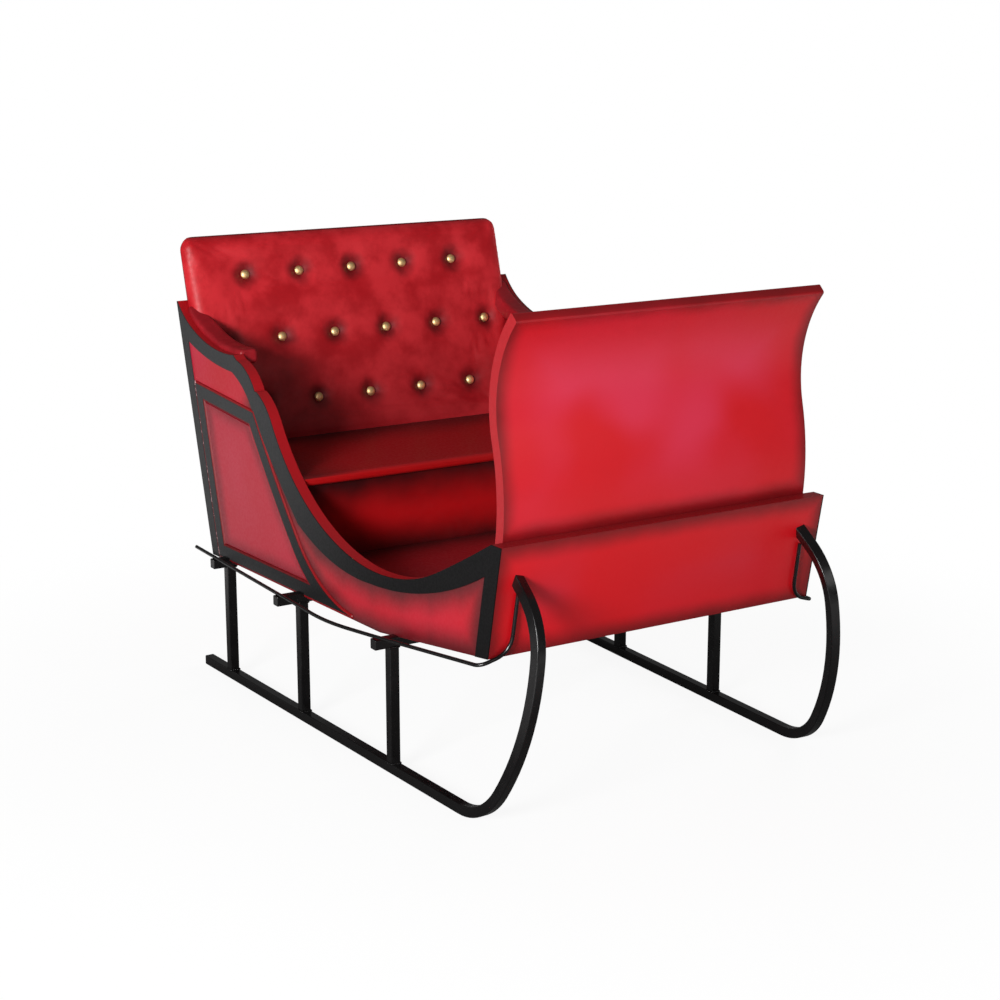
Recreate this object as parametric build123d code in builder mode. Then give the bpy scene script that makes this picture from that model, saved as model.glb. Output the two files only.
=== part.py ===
from build123d import *
from math import cos, radians, sin, tan
import os

# Two-seat sleigh: a red panelled body with an upholstered back, carried on a black frame
# of square steel tube whose two runners curl up in front and end at the front board.
# Millimetres and degrees. Z is up, the ground is z = 0 and X = 0 is the centre plane.
# The sleigh faces -Y. A station is a distance behind the front board's top front edge,
# so (station, height) pairs describe every outline that is seen from the side.

# Body shell
front_half_width = 500
side_splay = 2.75
side_thickness = 32
side_bottom_height = 365
side_rise_station = 560
rear_top_station = 1691
rear_top_height = 1110
rear_lean = 13.7
joint_gap = 0.3

# Front board and the curved dash panel that stands behind it
board_thickness = 43
board_rake = 11.1
board_top_height = 719
board_bottom_height = 427
dash_thickness = 30
dash_bend_height = 681
dash_lower_radius = 620
dash_lower_turn = 26.1
dash_upper_radius = 320
dash_upper_turn = 57.3
dash_edge_round = 6

# Upper edge of a side panel: arm, two scallops and the long swoop, as (station, height)
arm_rise = (1648, 1069)
arm_hollow = (1600, 1040)
arm_front = (1341, 995)
scallop_start = (1323, 983)
scallop_crown = (1262, 957)
scallop_end = (1218, 908)
shoulder_start = (1206, 908)
shoulder_crown = (1165, 882)
shoulder_end = (1125, 835)
swoop_bend = (870, 597)
swoop_rise = (280, 594)

# Inner panels, seat and upholstery
floor_thickness = 18
bearer_width = 28
bearer_half_spacing = 250
riser_thickness = 18
riser_setback = 17
seat_top_height = 692
seat_thickness = 28
seat_front_station = 1005
seat_lip_round = 12
back_panel_thickness = 20
back_top_height = 1290
back_corner_round = 40
cushion_top_height = 1300
cushion_foot_depth = 54
cushion_top_depth = 14
cushion_edge_round = 8
cushion_clearance = 3
cleat_height = 40
cleat_reach = 30
arm_pad_thickness = 30
arm_pad_depth = 60
arm_pad_rise = 10
arm_pad_round = 6

# Buttons of the back cushion: rows of five, six and five
button_radius = 12
button_height = 9
button_crown_round = 7
button_pitch = 182
button_row_heights = (1180, 990, 802)
button_row_counts = (5, 6, 5)

# Trim on the outer faces: a black border strip along the rear, upper and front edges, and a
# red moulding with a black strip on it around a raised field. Points are (station, height).
trim_thickness = 3
border_rear_width = 40
border_front_width = 53
border_inner_rear_height = 1000
border_arm_hollow = (1500, 963)
border_arm_front = (1351, 945)
border_scallop = (1293, 914)
border_shoulder = (1239, 860)
border_flank = (1108, 700)
border_bend = (985, 573)
border_low_bend = (800, 504)
border_floor = (600, 489)
border_rise = (322, 530)
border_front_height = 634
frame_gap = 10
frame_top_height = 878
frame_bottom_height = 373
frame_corner = (1228, 845)
frame_flank = (1100, 664)
frame_bend = (987, 521)
frame_tip_station = 703
frame_strip_width = 36
moulding_margin = 7
moulding_thickness = 4
moulding_slope = 3
strip_thickness = 1
field_gap = 1
field_thickness = 3
field_slope = 2

# Steel frame: runners, posts, crossbars and side rods
tube = 28
tube_corner = 3
tube_end_round = 2
runner_half_spacing = 532
runner_splay = 1.9
runner_rear_station = 1575
curl_start_station = 148
curl_lean = 7.1
curl_low_radius = 180
curl_low_turn = 58
curl_front_radius = 620
curl_front_turn = 35
curl_top_radius = 190
curl_top_turn = 50
curl_tail = 90
post_stations = (1411, 968, 481)
crossbar_top_height = 378
crossbar_overhangs = (43, 68, 43)
rod_diameter = 10
rod_inset = 9
rod_rear_station = 1550
rod_bow_station = 665
rod_corner_outset = 27
rod_corner_drop = 13
rod_foot_inset = 54
rod_foot_rise = 13
rod_tip_drop = 21
rod_bends = (600, 1000, 30, 60)

# Places that follow from the sizes above
floor_underside = board_bottom_height + 1
floor_top = floor_underside + floor_thickness
seat_underside = seat_top_height - seat_thickness
tail_reach = rear_top_station + (back_top_height - rear_top_height) * tan(radians(rear_lean))
nose_reach = (
    curl_low_radius * sin(radians(curl_low_turn))
    + curl_front_radius * (1 - sin(radians(curl_low_turn)))
    + tube / 2
    - curl_start_station
)
front_y = (nose_reach - tail_reach) / 2
cutting_width = 2 * (front_half_width + tail_reach * tan(radians(side_splay)) + side_thickness)
back_panel_depth = back_panel_thickness / cos(radians(rear_lean))
dash_depth = dash_thickness / cos(radians(board_rake))


def rear_station(height):
    """Station of the body's leaning rear face at a height."""
    return rear_top_station - (rear_top_height - height) * tan(radians(rear_lean))


def board_station(height):
    """Station of the front board's raked front face at a height."""
    return (board_top_height - height) * tan(radians(board_rake))


def back_station(height):
    """Station just in front of the back panel, where pieces that meet it end."""
    return rear_station(height) - back_panel_depth - joint_gap


def cushion_station(height):
    """Station of the back cushion's leaning front face, on a line from its foot to its top."""
    foot = back_station(seat_top_height) - cushion_foot_depth
    top = back_station(cushion_top_height) - cushion_top_depth
    return foot + (top - foot) * (height - seat_top_height) / (cushion_top_height - seat_top_height)


def dash_rear_station(height):
    """Station just behind the dash panel's straight foot."""
    return board_station(height) + board_thickness + dash_depth + 2 * joint_gap


def runner_face(station):
    """Distance from the centre plane to a runner's outer face."""
    return runner_half_spacing + station * tan(radians(runner_splay))


def side_plane(inset):
    """Plane along the right side panel, with station as x, height as y and its normal outward."""
    turn = radians(side_splay)
    outward = Vector(cos(turn), -sin(turn), 0)
    corner = Vector(front_half_width, front_y, 0)
    return Plane(corner - outward * inset, x_dir=(sin(turn), cos(turn), 0), z_dir=outward)


def mirrored_side_plane(inset):
    """The same plane on the left side, with its normal outward."""
    turn = radians(side_splay)
    outward = Vector(-cos(turn), -sin(turn), 0)
    corner = Vector(-front_half_width, front_y, 0)
    return Plane(corner - outward * inset, x_dir=(-sin(turn), cos(turn), 0), z_dir=outward)


def draw_side_outline():
    """Outline of the whole flank, front board's end included: arm, scallops and swoop on top."""
    rear_top = (rear_top_station, rear_top_height)
    rear_curve = ThreePointArc(rear_top, arm_rise, arm_hollow)
    TangentArc(arm_hollow, arm_front, tangent=rear_curve % 1)
    Line(arm_front, scallop_start)
    ThreePointArc(scallop_start, scallop_crown, scallop_end)
    Line(scallop_end, shoulder_start)
    shoulder = ThreePointArc(shoulder_start, shoulder_crown, shoulder_end)
    swoop_back = TangentArc(shoulder_end, swoop_bend, tangent=shoulder % 1)
    swoop_floor = TangentArc(swoop_bend, swoop_rise, tangent=swoop_back % 1)
    TangentArc(swoop_rise, board_rear_top, tangent=swoop_floor % 1)
    Polyline(
        board_rear_top,
        (0, board_top_height),
        (board_station(board_bottom_height), board_bottom_height),
        (side_rise_station, side_bottom_height),
        rear_bottom,
        rear_top,
    )


def draw_border_opening():
    """Inner edge of the border strip; the strip is open along the bottom."""
    inner_rear_top = (rear_station(border_inner_rear_height) - border_rear_width, border_inner_rear_height)
    inner_front_top = (board_station(border_front_height) + border_front_width, border_front_height)
    below = side_bottom_height - border_front_width
    ThreePointArc(inner_rear_top, border_arm_hollow, border_arm_front)
    ThreePointArc(border_arm_front, border_scallop, border_shoulder)
    ThreePointArc(border_shoulder, border_flank, border_bend)
    ThreePointArc(border_bend, border_low_bend, border_floor)
    ThreePointArc(border_floor, border_rise, inner_front_top)
    Polyline(
        inner_front_top,
        (board_station(below) + border_front_width, below),
        (rear_station(below) - border_rear_width, below),
        inner_rear_top,
    )


def draw_frame_outline():
    """Outer edge of the strip frame: straight rear and top, and a front that flares to a tip."""
    rear_edge = border_rear_width + frame_gap
    frame_rear_top = (rear_station(frame_top_height) - rear_edge, frame_top_height)
    frame_tip = (frame_tip_station, frame_bottom_height)
    frame_rear_bottom = (rear_station(frame_bottom_height) - rear_edge, frame_bottom_height)
    flank = ThreePointArc(frame_corner, frame_flank, frame_bend)
    TangentArc(frame_bend, frame_tip, tangent=flank % 1)
    Polyline(frame_tip, frame_rear_bottom, frame_rear_top, frame_corner)


def cut_crossbar_notches():
    """Notch the lower edge of the piece being built over the three crossbars."""
    for station in post_stations:
        with Locations((0, front_y + station, crossbar_top_height)):
            Box(
                cutting_width,
                tube + 2 * joint_gap,
                2 * tube,
                align=(Align.CENTER, Align.CENTER, Align.MAX),
                mode=Mode.SUBTRACT,
            )


def trim_to_sides(inset):
    """Cut the part being built where it would pass the two side planes."""
    split(bisect_by=side_plane(inset), keep=Keep.BOTTOM)
    split(bisect_by=mirrored_side_plane(inset), keep=Keep.BOTTOM)


def finish(builder, name):
    """Label a finished piece and write it out."""
    builder.part.label = name
    export_step(builder.part, f"parts/{name}.step")


os.makedirs("parts", exist_ok=True)

# Centre-plane sketch plane: x is the station, y the height.
profile_plane = Plane((0, front_y, 0), x_dir=(0, 1, 0), z_dir=(1, 0, 0))
side_outer = side_plane(0)

board_rear_top = (board_thickness, board_top_height)
board_rear_bottom = (board_station(board_bottom_height) + board_thickness, board_bottom_height)
rear_bottom = (rear_station(side_bottom_height), side_bottom_height)
forward = Vector(0, -cos(radians(board_rake)), -sin(radians(board_rake)))
board_front = Plane((0, front_y, board_top_height), x_dir=(1, 0, 0), z_dir=forward)
board_rear = Plane((0, front_y + board_thickness, board_top_height), x_dir=(1, 0, 0), z_dir=forward)

# Side panels: flat plates with the swooping, scalloped upper edge, behind the front board.
with BuildPart() as side_panel_right:
    with BuildSketch(side_outer):
        with BuildLine():
            draw_side_outline()
        make_face()
    extrude(amount=-side_thickness)
    split(bisect_by=board_rear, keep=Keep.BOTTOM)
    cut_crossbar_notches()
finish(side_panel_right, "side_panel_right")

with BuildPart() as side_panel_left:
    mirror(side_panel_right.part, about=Plane.YZ)
finish(side_panel_left, "side_panel_left")

# Front board: raked, across the front edges of both side panels.
with BuildPart() as front_board:
    with BuildSketch(profile_plane):
        with BuildLine():
            Polyline(
                (0, board_top_height),
                board_rear_top,
                board_rear_bottom,
                (board_station(board_bottom_height), board_bottom_height),
                close=True,
            )
        make_face()
    extrude(amount=cutting_width / 2, both=True)
    trim_to_sides(0)
finish(front_board, "front_board")

# Dash panel: an S-curved sheet that rises behind the front board and curls forward on top.
with BuildPart() as dash_panel:
    with BuildSketch(profile_plane):
        with BuildLine():
            foot_station = board_station(floor_underside) + board_thickness + joint_gap
            foot = (foot_station, floor_underside)
            bend = (board_station(dash_bend_height) + board_thickness + joint_gap, dash_bend_height)
            straight = Line(foot, bend)
            lower = JernArc(
                bend, tangent=straight % 1, radius=dash_lower_radius, arc_size=-dash_lower_turn
            )
            upper = JernArc(
                lower @ 1, tangent=lower % 1, radius=dash_upper_radius, arc_size=dash_upper_turn
            )
            offset(amount=dash_thickness, side=Side.RIGHT)
        make_face()
    extrude(amount=cutting_width / 2, both=True)
    trim_to_sides(side_thickness + joint_gap)
    crest = dash_panel.faces().sort_by(Axis.Z)[-1]
    fillet(crest.edges().filter_by(Axis.X), radius=dash_edge_round)
finish(dash_panel, "dash_panel")

# Floor: a front panel from the dash to the seat riser and a rear one from there to the back,
# on two bearers that lie across the crossbars.
riser_front = seat_front_station + riser_setback
riser_rear = riser_front + riser_thickness


def draw_plank(front_low, front_high, rear_low, rear_high, low, high):
    """Section of a board between two heights, with a station for each of its four corners."""
    Polyline((front_low, low), (rear_low, low), (rear_high, high), (front_high, high), close=True)


with BuildPart() as floor_panel:
    with BuildSketch(profile_plane):
        with BuildLine():
            draw_plank(
                dash_rear_station(floor_underside),
                dash_rear_station(floor_top),
                riser_front - joint_gap,
                riser_front - joint_gap,
                floor_underside,
                floor_top,
            )
        make_face()
    extrude(amount=cutting_width / 2, both=True)
    trim_to_sides(side_thickness + joint_gap)
finish(floor_panel, "floor_panel")

with BuildPart() as rear_floor:
    with BuildSketch(profile_plane):
        with BuildLine():
            draw_plank(
                riser_rear + joint_gap,
                riser_rear + joint_gap,
                back_station(floor_underside),
                back_station(floor_top),
                floor_underside,
                floor_top,
            )
        make_face()
    extrude(amount=cutting_width / 2, both=True)
    trim_to_sides(side_thickness + joint_gap)
finish(rear_floor, "rear_floor")

bearer_length = post_stations[0] - post_stations[-1] + 2 * tube
for side, name in ((1, "floor_bearer_right"), (-1, "floor_bearer_left")):
    with BuildPart() as floor_bearer:
        middle = front_y + (post_stations[0] + post_stations[-1]) / 2
        with BuildSketch(Plane((side * bearer_half_spacing, middle, crossbar_top_height))):
            Rectangle(bearer_width, bearer_length)
        extrude(amount=floor_underside - crossbar_top_height)
    finish(floor_bearer, name)

# Seat: a bench board with a rounded front lip, on a set-back riser in front and a cleat behind.
with BuildPart() as seat_board:
    with BuildSketch(profile_plane):
        with BuildLine():
            draw_plank(
                seat_front_station,
                seat_front_station,
                cushion_station(seat_underside) - joint_gap,
                cushion_station(seat_top_height) - joint_gap,
                seat_underside,
                seat_top_height,
            )
        make_face()
    extrude(amount=cutting_width / 2, both=True)
    front_edges = seat_board.faces().sort_by(Axis.Y)[0].edges().filter_by(Axis.X)
    fillet(front_edges, radius=seat_lip_round)
    trim_to_sides(side_thickness + joint_gap)
finish(seat_board, "seat_board")

with BuildPart() as seat_riser:
    riser_y = front_y + (riser_front + riser_rear) / 2
    with BuildSketch(Plane((0, riser_y, floor_underside))):
        Rectangle(cutting_width, riser_thickness)
    extrude(amount=seat_underside - floor_underside)
    trim_to_sides(side_thickness + joint_gap)
finish(seat_riser, "seat_riser")

with BuildPart() as seat_cleat:
    cleat_front = cushion_station(seat_underside) - cleat_reach
    cleat_underside = seat_underside - cleat_height
    with BuildSketch(profile_plane):
        with BuildLine():
            draw_plank(
                cleat_front,
                cleat_front,
                back_station(cleat_underside),
                back_station(seat_underside),
                cleat_underside,
                seat_underside,
            )
        make_face()
    extrude(amount=cutting_width / 2, both=True)
    trim_to_sides(side_thickness + joint_gap)
finish(seat_cleat, "seat_cleat")

# Back panel: closes the body at the rear and stands above the side panels.
back_plane = Plane(
    (0, front_y + rear_bottom[0], side_bottom_height),
    x_dir=(1, 0, 0),
    z_dir=(0, -cos(radians(rear_lean)), sin(radians(rear_lean))),
)


def back_slope(height):
    """Distance up the leaning rear face to a height."""
    return (height - side_bottom_height) / cos(radians(rear_lean))


with BuildPart() as back_panel:
    with BuildSketch(back_plane):
        with Locations((0, back_slope(back_top_height) / 2)):
            Rectangle(cutting_width, back_slope(back_top_height))
    extrude(amount=back_panel_thickness)
    trim_to_sides(side_thickness + joint_gap)
    upright = back_panel.edges().filter_by(lambda edge: abs(edge.tangent_at(0).Y) > 0.9)
    fillet(upright.group_by(Axis.Z)[-1], radius=back_corner_round)
finish(back_panel, "back_panel")

# Back cushion: a wedge, thicker at the seat than at the top, that stands on the cleat.
cushion_foot = (cushion_station(seat_underside), seat_underside)
cushion_top = (cushion_station(cushion_top_height), cushion_top_height)
cushion_rise = Vector(0, cushion_top[0] - cushion_foot[0], cushion_top[1] - cushion_foot[1])
cushion_normal = Vector(0, -cushion_rise.Z, cushion_rise.Y).normalized()
cushion_face = Plane((0, front_y + cushion_foot[0], seat_underside), x_dir=(1, 0, 0), z_dir=cushion_normal)

with BuildPart() as back_cushion:
    with BuildSketch(profile_plane):
        with BuildLine():
            draw_plank(
                cushion_foot[0],
                cushion_top[0],
                back_station(seat_underside),
                back_station(cushion_top_height),
                seat_underside,
                cushion_top_height,
            )
        make_face()
    extrude(amount=cutting_width / 2, both=True)
    trim_to_sides(side_thickness + cushion_clearance)
    upright = back_cushion.edges().filter_by(lambda edge: abs(edge.tangent_at(0).Y) > 0.9)
    fillet(upright.group_by(Axis.Z)[-1], radius=back_corner_round)
    front_face = back_cushion.faces().sort_by(Axis((0, 0, 0), cushion_normal))[-1]
    fillet(front_face.edges().sort_by(Axis.Z)[1:], radius=cushion_edge_round)
finish(back_cushion, "back_cushion")

# Domed buttons on the cushion's front face.
for row, (height, count) in enumerate(zip(button_row_heights, button_row_counts), start=1):
    for column in range(count):
        button_x = (column - (count - 1) / 2) * button_pitch
        seat_point = (button_x, front_y + cushion_station(height), height)
        with BuildPart() as back_button:
            with BuildSketch(Plane(seat_point, x_dir=(1, 0, 0), z_dir=cushion_normal)):
                Circle(button_radius)
            extrude(amount=button_height)
            crown = back_button.faces().sort_by(Axis.Y)[0].edges()
            fillet(crown, radius=button_crown_round)
        finish(back_button, f"back_button_{row}_{column + 1}")

# Arm pads: bolsters along the inner face of each arm, standing a little above it. Each ends
# in front at the arm's step and behind at the cushion.
def raised(point, rise):
    """An outline point moved up."""
    return (point[0], point[1] + rise)


with BuildPart() as arm_pad_right:
    with BuildSketch(side_plane(side_thickness + joint_gap)):
        with BuildLine():
            pad_front = raised(arm_front, arm_pad_rise)
            pad_hollow = raised(arm_hollow, arm_pad_rise)
            pad_rear = raised((rear_top_station, rear_top_height), arm_pad_rise)
            rear_crest = ThreePointArc(pad_rear, raised(arm_rise, arm_pad_rise), pad_hollow)
            TangentArc(pad_hollow, pad_front, tangent=rear_crest % 1)
            Polyline(
                pad_front,
                raised(pad_front, -arm_pad_depth),
                raised(pad_hollow, -arm_pad_depth),
                raised(pad_rear, -arm_pad_depth),
                pad_rear,
            )
        make_face()
    extrude(amount=-arm_pad_thickness)
    split(bisect_by=cushion_face.offset(cushion_clearance), keep=Keep.TOP)
    inner_face = arm_pad_right.faces().sort_by(Axis(side_outer.origin, side_outer.z_dir))[0]
    fillet(inner_face.edges().filter_by(GeomType.CIRCLE), radius=arm_pad_round)
finish(arm_pad_right, "arm_pad_right")

with BuildPart() as arm_pad_left:
    mirror(arm_pad_right.part, about=Plane.YZ)
finish(arm_pad_left, "arm_pad_left")

# Runners: one tube each, flat on the ground, then bent up in a curl that leans inward
# and is cut off where it meets the front board.
runner_turn = radians(runner_splay)
lean = radians(curl_lean)
runner_plane = Plane(
    (runner_face(0) - tube / 2, front_y, tube / 2),
    x_dir=(sin(runner_turn), cos(runner_turn), 0),
    z_dir=(cos(runner_turn) * cos(lean), -sin(runner_turn) * cos(lean), sin(lean)),
)
with BuildPart() as runner_right:
    with BuildLine(runner_plane) as runner_path:
        flat = Line((runner_rear_station, 0), (curl_start_station, 0))
        low = JernArc(flat @ 1, tangent=(-1, 0), radius=curl_low_radius, arc_size=-curl_low_turn)
        nose = JernArc(
            low @ 1, tangent=low % 1, radius=curl_front_radius, arc_size=-curl_front_turn
        )
        top = JernArc(nose @ 1, tangent=nose % 1, radius=curl_top_radius, arc_size=-curl_top_turn)
        Line(top @ 1, (top @ 1) + (top % 1) * curl_tail)
    start = runner_path.line @ 0
    with BuildSketch(Plane(start, x_dir=(0, 0, 1), z_dir=runner_path.line % 0)):
        RectangleRounded(tube, tube, tube_corner)
    sweep(path=runner_path.line)
    rear_end = runner_right.faces().sort_by(Axis.Y)[-1]
    fillet(rear_end.edges(), radius=tube_end_round)
    with BuildSketch(board_front.offset(joint_gap)):
        with Locations(board_front.to_local_coords(runner_path.line @ 1)):
            Rectangle(4 * tube, 6 * tube)
    extrude(amount=-6 * tube, mode=Mode.SUBTRACT)
finish(runner_right, "runner_right")

# Where the runner's centre line meets the front board.
tail_end = runner_path.line @ 1
tail_way = runner_path.line % 1
tail_spare = (tail_end - board_front.origin).dot(board_front.z_dir) / tail_way.dot(board_front.z_dir)
runner_tip = tail_end - tail_way * tail_spare

with BuildPart() as runner_left:
    mirror(runner_right.part, about=Plane.YZ)
finish(runner_left, "runner_left")

# Crossbars, posts and the side rods that lie on the crossbars' ends.
for number, (station, overhang) in enumerate(zip(post_stations, crossbar_overhangs), start=1):
    bar_length = 2 * (runner_face(station) + overhang)
    bar_centre = (0, front_y + station, crossbar_top_height - tube / 2)
    with BuildPart() as crossbar:
        with BuildSketch(Plane(bar_centre, x_dir=(0, 1, 0), z_dir=(1, 0, 0))):
            RectangleRounded(tube, tube, tube_corner)
        extrude(amount=bar_length / 2, both=True)
        ends = crossbar.faces().filter_by(Axis.X)
        fillet(ends.edges(), radius=tube_end_round)
    finish(crossbar, f"crossbar_{number}")
    for side, word in ((1, "right"), (-1, "left")):
        post_x = side * (runner_face(station) - tube / 2)
        with BuildPart() as post:
            with BuildSketch(Plane((post_x, front_y + station, tube))):
                RectangleRounded(tube, tube, tube_corner)
            extrude(amount=crossbar_top_height - 2 * tube)
        finish(post, f"post_{word}_{number}")

# Side rods: round bar along the crossbars' ends, bowed outward before the front one, round the
# body's front corner and up in front of the board to the underside of the runner's tip.
rod_height = crossbar_top_height + rod_diameter / 2 + joint_gap
bar_seats = [
    Vector(runner_face(station) + overhang - rod_inset, front_y + station, rod_height)
    for station, overhang in zip(post_stations, crossbar_overhangs)
]
rear_run = (bar_seats[0] - bar_seats[1]) / (post_stations[0] - post_stations[1])
rear_tip = bar_seats[0] + rear_run * (rod_rear_station - post_stations[0])
rod_bow = bar_seats[1] - rear_run * (post_stations[1] - rod_bow_station)
rod_corner = Vector(
    front_half_width + rod_corner_outset,
    front_y + board_station(board_bottom_height),
    board_bottom_height - rod_corner_drop,
)
rod_foot_height = board_bottom_height + rod_foot_rise
rod_foot = Vector(
    front_half_width - rod_foot_inset,
    front_y + board_station(rod_foot_height) - rod_diameter,
    rod_foot_height,
)
rod_tip = runner_tip - Vector(0, 0, rod_tip_drop + tube / 2)
with BuildPart() as side_rod_right:
    with BuildLine() as rod_path:
        FilletPolyline(rear_tip, rod_bow, bar_seats[2], rod_corner, rod_foot, rod_tip, radius=rod_bends)
    with BuildSketch(Plane(rod_path.line @ 0, z_dir=rod_path.line % 0)):
        Circle(rod_diameter / 2)
    sweep(path=rod_path.line)
finish(side_rod_right, "side_rod_right")

with BuildPart() as side_rod_left:
    mirror(side_rod_right.part, about=Plane.YZ)
finish(side_rod_left, "side_rod_left")

# Trim on the right outer face, then the same on the left. The moulding's edges slope down to
# the flank, and its black strip lies on the flat top.
moulding_top = side_plane(-moulding_thickness)
flank_axis = Axis(side_outer.origin, side_outer.z_dir)
with BuildPart() as border_trim_right:
    with BuildSketch(side_outer):
        with BuildLine():
            draw_side_outline()
        make_face()
        with BuildLine():
            draw_border_opening()
        make_face(mode=Mode.SUBTRACT)
    extrude(amount=trim_thickness)
finish(border_trim_right, "border_trim_right")

with BuildPart() as border_trim_left:
    mirror(border_trim_right.part, about=Plane.YZ)
finish(border_trim_left, "border_trim_left")

with BuildPart() as moulding_right:
    with BuildSketch(side_outer):
        with BuildLine():
            draw_frame_outline()
        make_face()
        offset(amount=moulding_margin, mode=Mode.REPLACE)
        offset(amount=-frame_strip_width - 2 * moulding_margin, mode=Mode.SUBTRACT)
    extrude(amount=moulding_thickness)
    chamfer(moulding_right.faces().sort_by(flank_axis)[-1].edges(), length=moulding_slope)
    cut_crossbar_notches()
    add(border_trim_right.part, mode=Mode.SUBTRACT)
finish(moulding_right, "moulding_right")

with BuildPart() as moulding_left:
    mirror(moulding_right.part, about=Plane.YZ)
finish(moulding_left, "moulding_left")

with BuildPart() as frame_trim_right:
    with BuildSketch(moulding_top):
        with BuildLine():
            draw_frame_outline()
        make_face()
        offset(amount=-frame_strip_width, mode=Mode.SUBTRACT)
    extrude(amount=strip_thickness)
    cut_crossbar_notches()
finish(frame_trim_right, "frame_trim_right")

with BuildPart() as frame_trim_left:
    mirror(frame_trim_right.part, about=Plane.YZ)
finish(frame_trim_left, "frame_trim_left")

with BuildPart() as raised_field_right:
    with BuildSketch(side_outer):
        with BuildLine():
            draw_frame_outline()
        make_face()
        offset(amount=-frame_strip_width - moulding_margin - field_gap, mode=Mode.REPLACE)
    extrude(amount=field_thickness)
    chamfer(raised_field_right.faces().sort_by(flank_axis)[-1].edges(), length=field_slope)
finish(raised_field_right, "raised_field_right")

with BuildPart() as raised_field_left:
    mirror(raised_field_right.part, about=Plane.YZ)
finish(raised_field_left, "raised_field_left")
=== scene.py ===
import math
from collections import namedtuple

import bmesh
import bpy
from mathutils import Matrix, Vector


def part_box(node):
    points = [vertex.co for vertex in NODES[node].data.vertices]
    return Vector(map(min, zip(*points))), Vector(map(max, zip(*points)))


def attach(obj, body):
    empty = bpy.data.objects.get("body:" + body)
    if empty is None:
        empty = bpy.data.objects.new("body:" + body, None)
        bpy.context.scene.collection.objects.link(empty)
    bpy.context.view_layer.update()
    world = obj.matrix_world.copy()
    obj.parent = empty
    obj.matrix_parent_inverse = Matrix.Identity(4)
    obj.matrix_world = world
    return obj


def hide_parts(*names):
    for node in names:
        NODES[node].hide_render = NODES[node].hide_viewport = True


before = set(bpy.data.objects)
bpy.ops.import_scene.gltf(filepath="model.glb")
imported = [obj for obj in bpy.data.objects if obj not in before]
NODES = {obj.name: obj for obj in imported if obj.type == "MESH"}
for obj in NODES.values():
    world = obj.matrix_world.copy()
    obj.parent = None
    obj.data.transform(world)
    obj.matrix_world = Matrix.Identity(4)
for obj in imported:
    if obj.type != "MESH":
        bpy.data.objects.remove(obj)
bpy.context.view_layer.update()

# A two-seat sleigh: red airbrushed body, buttoned leather back, padded arms, black trim, and a
# frame of black square tube. Metres. The CAD nodes keep their places; this script finishes
# their surfaces and makes the padding, the welds and the studio.

MM = 0.001

# The flank's outline points are stations behind the front board's top front edge.
FRONT_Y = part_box("front_board")[0].y
BOARD_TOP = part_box("front_board")[1].z
SEAT_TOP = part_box("seat_board")[1].z
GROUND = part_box("runner_left")[0].z

# Camera: fitted to the photograph's straight edges.
CAMERA_PLACE = (-2.950, -4.678, 1.971)
CAMERA_PITCH = 13.9
CAMERA_YAW = 32.3
CAMERA_LENS = 72

# Back cushion: leather wrapped over the board's edges and drawn in by the buttons. It thins from
# foot to top, its outline has rounded edges, and each dimple has a flat where the button sits.
CUSHION_VOXEL = 6 * MM
CUSHION_FOOT_DEPTH = 54 * MM
CUSHION_TOP_DEPTH = 14 * MM
CUSHION_CROWN = 5 * MM
CUSHION_WRAP = 12 * MM
CUSHION_SIDE_GROWTH = 1.014
CUSHION_ROUND = 34 * MM
CUSHION_FOOT_TAPER = 9 * MM
CUSHION_FOOT_ROUND = 12 * MM
CUSHION_BACK_MARGIN = 4 * MM
DIMPLE_DEPTH = 18 * MM
DIMPLE_FLAT = 13 * MM
DIMPLE_REACH = 24 * MM
DIMPLE_FADE = 1.25
DIMPLE_REACHES = 5
BUTTON_HEIGHT = 9 * MM
BUTTON_RADIUS = 14.5 * MM
BUTTON_DOME = 9 * MM
BUTTON_SINK = 13 * MM
BUTTON_SHANK = 2 * MM
BUTTON_RINGS = 7
BUTTON_TURNS = 28

# Arm pads: bolsters along the arm's upper edge, whose points are (station, height) in millimetres
ARM_REAR = (1668, 1086)
ARM_RISE = (1636, 1060)
ARM_HOLLOW = (1600, 1040)
ARM_MIDDLE = (1477, 1000)
ARM_FRONT = (1343, 995)
SIDE_SPLAY = 0.048
FRONT_HALF_WIDTH = 500 * MM
PAD_OUTER = 19 * MM
PAD_INNER = 82 * MM
PAD_INNER_REAR = 62 * MM
PAD_RISE = 16 * MM
PAD_DROP = 34 * MM
PAD_SQUARENESS = 0.45
PAD_TURNS = 24
PAD_REAR_STEPS = 8
PAD_FRONT_STEPS = 16
PAD_CLOSING_STEPS = 5

# Cloth simulation of the leather; the part of the cushion behind the tacked share is held
CLOTH_FRAMES = 16
CLOTH_QUALITY = 5
CLOTH_MASS = 0.4
CLOTH_STIFFNESS = 25
CLOTH_BENDING = 2
CLOTH_PRESSURE = 2.0
CLOTH_TRAVEL = 6 * MM
TACKED_SHARE = 0.3

# Painted shade in the leather: dark from the button to the halo's end, and deeper up to a height over
# the seat
HALO_START = 6 * MM
HALO_END = 58 * MM
HALO_DRIFT = 34 * MM
SEAT_SHADE_RISE = 450 * MM

# Lacquer: the dark bands along edges, airbrushed paint and painted shade, blend over this length where
# two edges meet
SPRAY_CREASE = 12 * MM

# Studio floor: its whiteness and its painted shade change between these distances from the sleigh's
# middle
FLOOR_SIZE = 40.0
PAPER_NEAR = 1.0
PAPER_FAR = 2.4
BOUNCE_FAR = 2.6

# Welds
WELD_BEAD = 3.0 * MM
WELD_STEP = 2.4 * MM
WELD_SEED = 7


def srgb(code):
    """Linear colour of an sRGB hex value such as #b5414e."""
    parts = [int(code[place:place + 2], 16) / 255 for place in (1, 3, 5)]
    linear = [
        part / 12.92 if part <= 0.04045 else ((part + 0.055) / 1.055) ** 2.4 for part in parts
    ]
    return (*linear, 1.0)


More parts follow.
